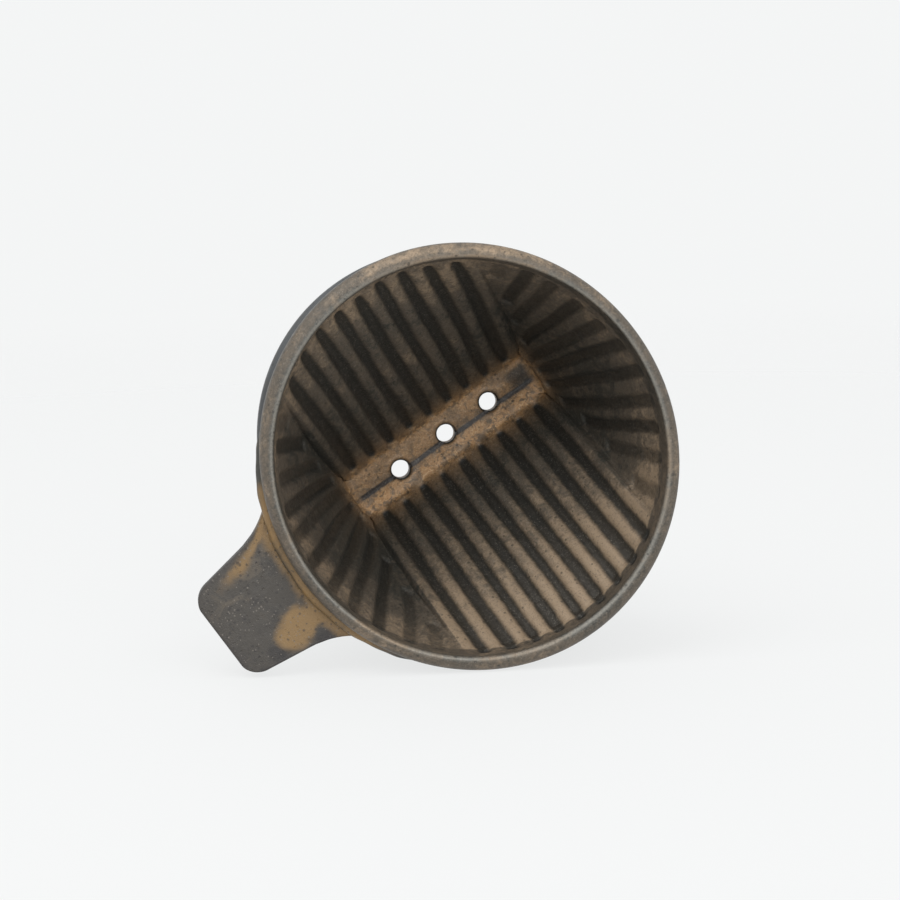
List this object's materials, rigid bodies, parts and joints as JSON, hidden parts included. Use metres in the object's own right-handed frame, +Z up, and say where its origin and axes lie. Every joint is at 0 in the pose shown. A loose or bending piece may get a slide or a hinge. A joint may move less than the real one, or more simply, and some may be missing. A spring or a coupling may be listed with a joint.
{
  "type": "pour over coffee dripper",
  "caption": "Glazed stoneware pour-over dripper: fluted wedge-shaped bowl with a slot floor and drain holes, on a round saucer with a foot ring, with a flat tab handle.",
  "frame": {"origin": "centre of the foot ring's underside, on the dripper's axis", "axes": "+Z up through the mouth, +X along the drain slot and out through the handle, Y across the flat walls"},
  "size_m": [0.1386, 0.1166, 0.0855],
  "materials": {
    "bronze_glaze": "satin bronze-brown glaze, near black in the flutes, golden brown where it is thin",
    "charcoal_glaze": "satin charcoal glaze, pitted, with tan patches",
    "tan_glaze": "satin tan glaze, worn thin over the joint",
    "bare_clay": "bare fired stoneware, wiped clean of glaze"
  },
  "bodies": {
    "root": {"fluted_bowl": "bronze_glaze", "saucer": "bronze_glaze", "foot_ring": "bare_clay", "handle_tab": "charcoal_glaze", "handle_seam": "tan_glaze", "handle_seam_under": "tan_glaze", "saucer_seam": "bronze_glaze"}
  },
  "joints": []
}
